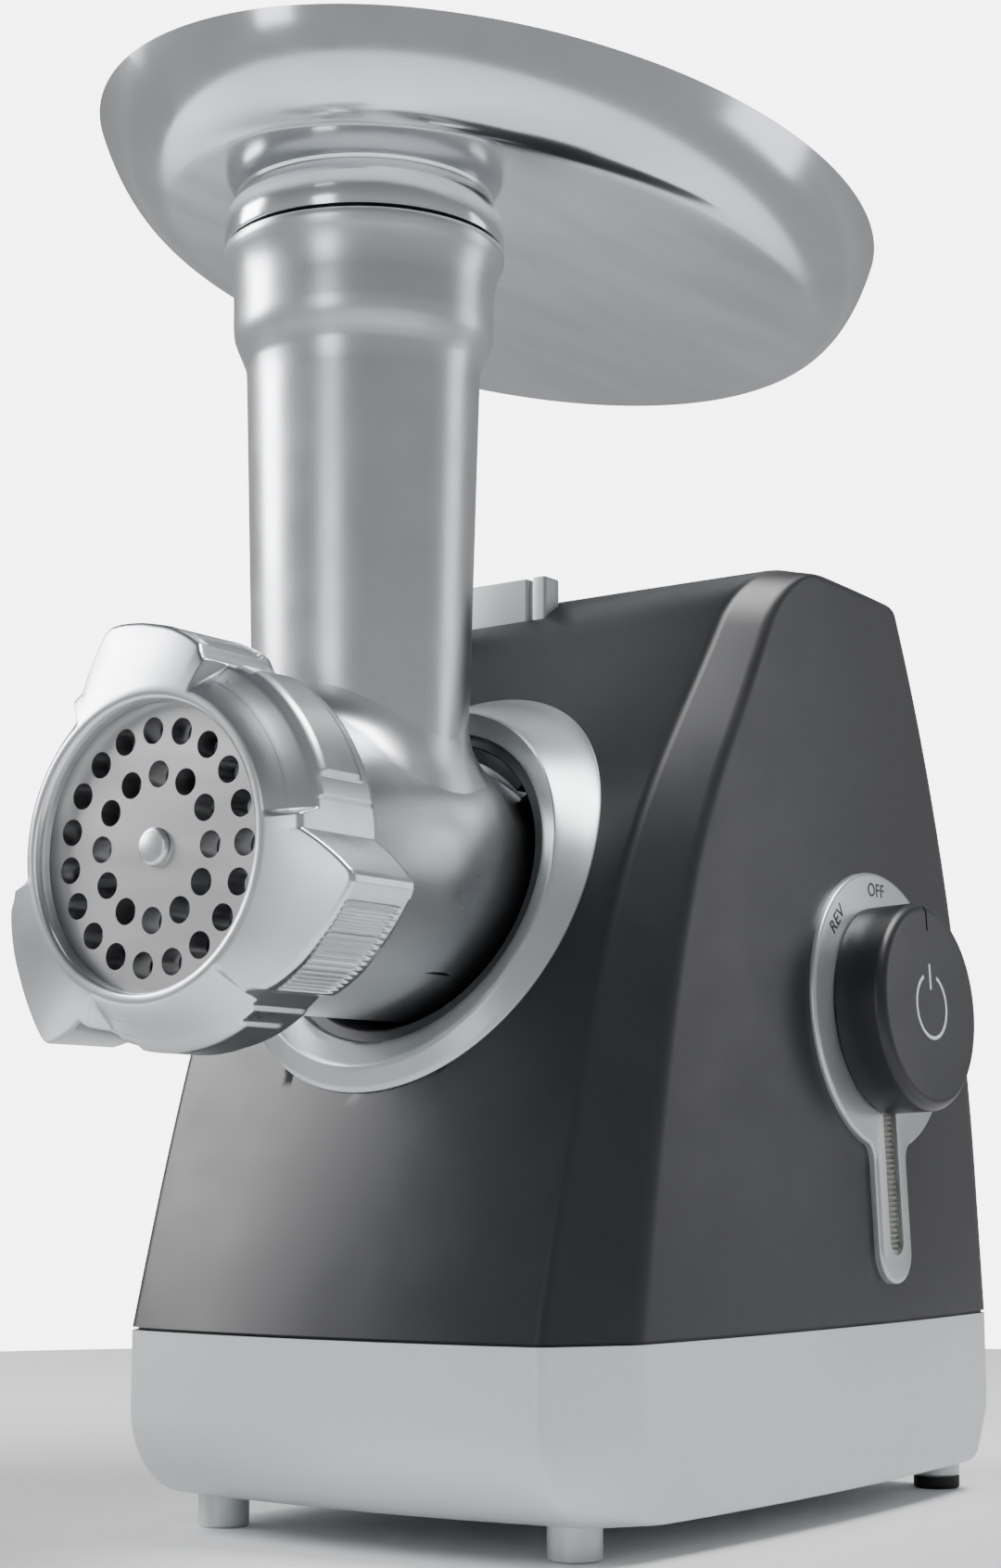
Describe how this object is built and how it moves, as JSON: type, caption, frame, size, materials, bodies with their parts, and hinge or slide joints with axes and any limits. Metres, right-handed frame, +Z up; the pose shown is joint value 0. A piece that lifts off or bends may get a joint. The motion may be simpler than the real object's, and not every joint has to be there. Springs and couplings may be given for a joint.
{
  "type": "electric meat grinder",
  "caption": "Electric meat grinder: motor body with a base pan, bayonet feed head with auger, plate and screw ring, oval tray on the feed tube, rotary switch.",
  "frame": {"origin": "on the resting plane, at the centre of the four feet", "axes": "+Z up, -Y towards the outlet plate, +X towards the side with the switch knob"},
  "size_m": [0.1683, 0.2616, 0.3168],
  "materials": {
    "body_plastic": "satin",
    "pan_plastic": "satin",
    "silver_plastic": "satin",
    "dark_plastic": "matt",
    "window_plastic": "translucent",
    "black_rubber": "matt",
    "zinc_steel": "bright",
    "board_green": "gloss",
    "cast_metal": "as cast",
    "bush_bronze": "satin",
    "stator_steel": "satin",
    "copper_wire": "enamelled",
    "brush_brass": "satin",
    "carbon": "matt",
    "copper_bar": "satin",
    "gear_steel": "satin",
    "gear_nylon": "satin",
    "cast_aluminium": "satin",
    "blade_steel": "satin",
    "tray_metal": "bright"
  },
  "bodies": {
    "machine": {"base_pan": "pan_plastic", "body_shell": "body_plastic", "rear_cover": "body_plastic", "front_feet": "silver_plastic", "rear_feet": "silver_plastic", "foot_pads": "black_rubber", "base_screws": "zinc_steel", "socket_bezel": "silver_plastic", "socket_cup": "dark_plastic", "release_spring": "zinc_steel", "knob_bezel": "silver_plastic", "light_window": "window_plastic", "rotary_switch": "dark_plastic", "circuit_board": "board_green", "cord_grommet": "black_rubber", "gearbox_case": "cast_metal", "gearbox_cover": "cast_metal", "gearbox_screws": "zinc_steel", "gear_pins": "zinc_steel", "shaft_bushes": "bush_bronze", "motor_stator": "stator_steel", "field_windings": "copper_wire", "front_bracket": "zinc_steel", "rear_bracket": "zinc_steel", "motor_bearings": "bush_bronze", "brush_holders": "brush_brass", "carbon_brushes": "carbon"},
    "latch": {"release_button": "silver_plastic"},
    "knob": {"control_knob": "body_plastic", "switch_spindle": "zinc_steel"},
    "rotor": {"rotor_shaft": "zinc_steel", "armature": "stator_steel", "commutator": "copper_bar", "cooling_fan": "dark_plastic", "motor_pinion": "gear_steel"},
    "first_stage": {"first_gear": "gear_nylon"},
    "second_stage": {"second_gear": "gear_nylon"},
    "drive": {"output_gear": "gear_steel", "output_shaft": "gear_steel", "drive_coupling": "dark_plastic", "auger": "cast_aluminium", "cutting_blade": "blade_steel"},
    "head": {"head_housing": "cast_aluminium", "grinding_plate": "blade_steel", "auger_bush": "gear_nylon"},
    "ring": {"screw_ring": "cast_aluminium"},
    "tray": {"hopper_tray": "tray_metal"}
  },
  "joints": [
    {"name": "motor_spin", "type": "hinge", "parent": "machine", "child": "rotor", "pos_m": [0.00009, 0.03, 0.06011], "axis": [0, 1, 0], "continuous": true},
    {"name": "first_spin", "type": "hinge", "parent": "machine", "child": "first_stage", "pos_m": [-0.00491, -0.02, 0.08847], "axis": [0, 1, 0], "continuous": true},
    {"name": "second_spin", "type": "hinge", "parent": "machine", "child": "second_stage", "pos_m": [0.021, -0.03, 0.10595], "axis": [0, 1, 0], "continuous": true},
    {"name": "auger_spin", "type": "hinge", "parent": "machine", "child": "drive", "pos_m": [0, -0.03, 0.14232], "axis": [0, 1, 0], "continuous": true},
    {"name": "knob_turn", "type": "hinge", "parent": "machine", "child": "knob", "pos_m": [0.0651, 0.0203, 0.1166], "axis": [0.999, 0, 0.0436], "range_deg": [-45, 45]},
    {"name": "button_press", "type": "slide", "parent": "machine", "child": "latch", "axis": [0, 0, -1], "range_m": [0, 0.004], "stiffness_N_per_m": 600, "deforming": ["release_spring"]},
    {"name": "head_lock", "type": "hinge", "parent": "machine", "child": "head", "pos_m": [0, -0.1, 0.14232], "axis": [0, 1, 0], "range_deg": [0, 30]},
    {"name": "ring_turn", "type": "hinge", "parent": "head", "child": "ring", "pos_m": [0, -0.15, 0.14232], "axis": [0, 1, 0], "range_deg": [-90, 0]},
    {"name": "tray_lift", "type": "slide", "parent": "head", "child": "tray", "axis": [0, 0, 1], "range_m": [0, 0.03]}
  ],
  "couplings": [
    {"joint": "first_spin", "follows": "motor_spin", "ratio": -0.14286},
    {"joint": "second_spin", "follows": "motor_spin", "ratio": 0.035714},
    {"joint": "auger_spin", "follows": "motor_spin", "ratio": -0.011905}
  ]
}
